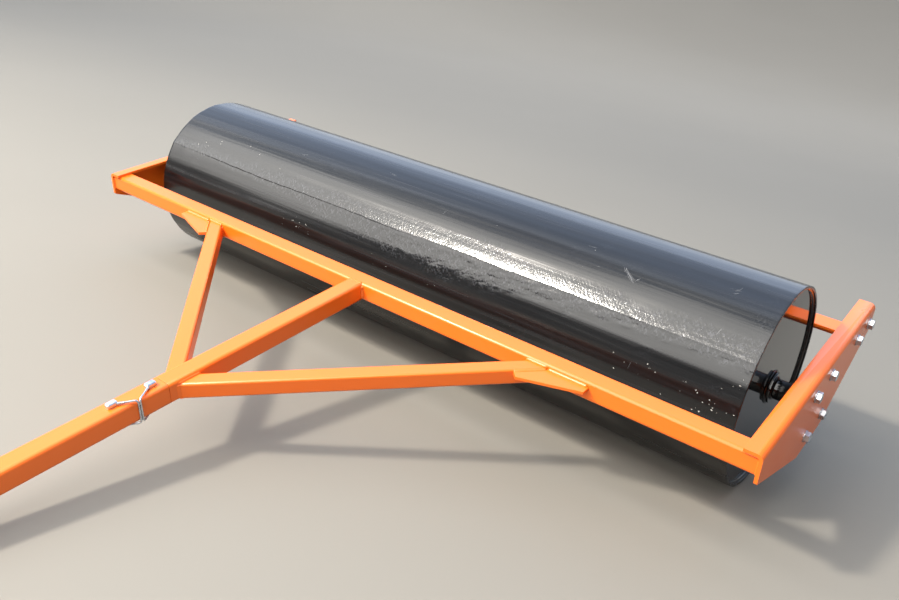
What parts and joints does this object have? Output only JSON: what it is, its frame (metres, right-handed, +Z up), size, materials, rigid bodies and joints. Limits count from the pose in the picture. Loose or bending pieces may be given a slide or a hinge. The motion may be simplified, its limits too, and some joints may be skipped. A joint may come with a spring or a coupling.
{
  "type": "land roller",
  "caption": "Trailed land roller: a closed steel drum between folded side plates of a square-tube frame, towed by a pinned drawbar with a clevis.",
  "frame": {"origin": "on the ground, under the middle of the roller's footprint as it is parked", "axes": "+X along the drum, to the right as seen from the hitch; -Y the way it is towed; +Z up"},
  "size_m": [2.18, 2.0596, 0.508],
  "materials": {
    "orange_paint": "gloss",
    "black_paint": "gloss",
    "cast_iron": "painted casting",
    "bearing_steel": "ground",
    "zinc_plate": "bright zinc"
  },
  "bodies": {
    "frame": {"bearing_housing_left": "cast_iron", "bearing_housing_right": "cast_iron", "bearing_ring_left": "bearing_steel", "bearing_ring_right": "bearing_steel", "brace_left": "orange_paint", "brace_right": "orange_paint", "centre_tube": "orange_paint", "clevis_plate_bottom": "orange_paint", "clevis_plate_top": "orange_paint", "drawbar": "orange_paint", "end_member_left": "orange_paint", "end_member_right": "orange_paint", "front_beam": "orange_paint", "gusset_left": "orange_paint", "gusset_right": "orange_paint", "lock_pin_front": "zinc_plate", "lock_pin_rear": "zinc_plate", "rear_bar": "orange_paint", "rear_bar_plate_left": "orange_paint", "rear_bar_plate_right": "orange_paint", "spigot": "orange_paint"},
    "drum": {"drum_shell": "black_paint", "end_disc_left": "black_paint", "end_disc_right": "black_paint", "stub_axle_left": "black_paint", "stub_axle_right": "black_paint"}
  },
  "joints": [
    {"name": "drum_spin", "type": "hinge", "parent": "frame", "child": "drum", "pos_m": [0, 0.65492, 0.254], "axis": [1, 0, 0], "continuous": true}
  ]
}
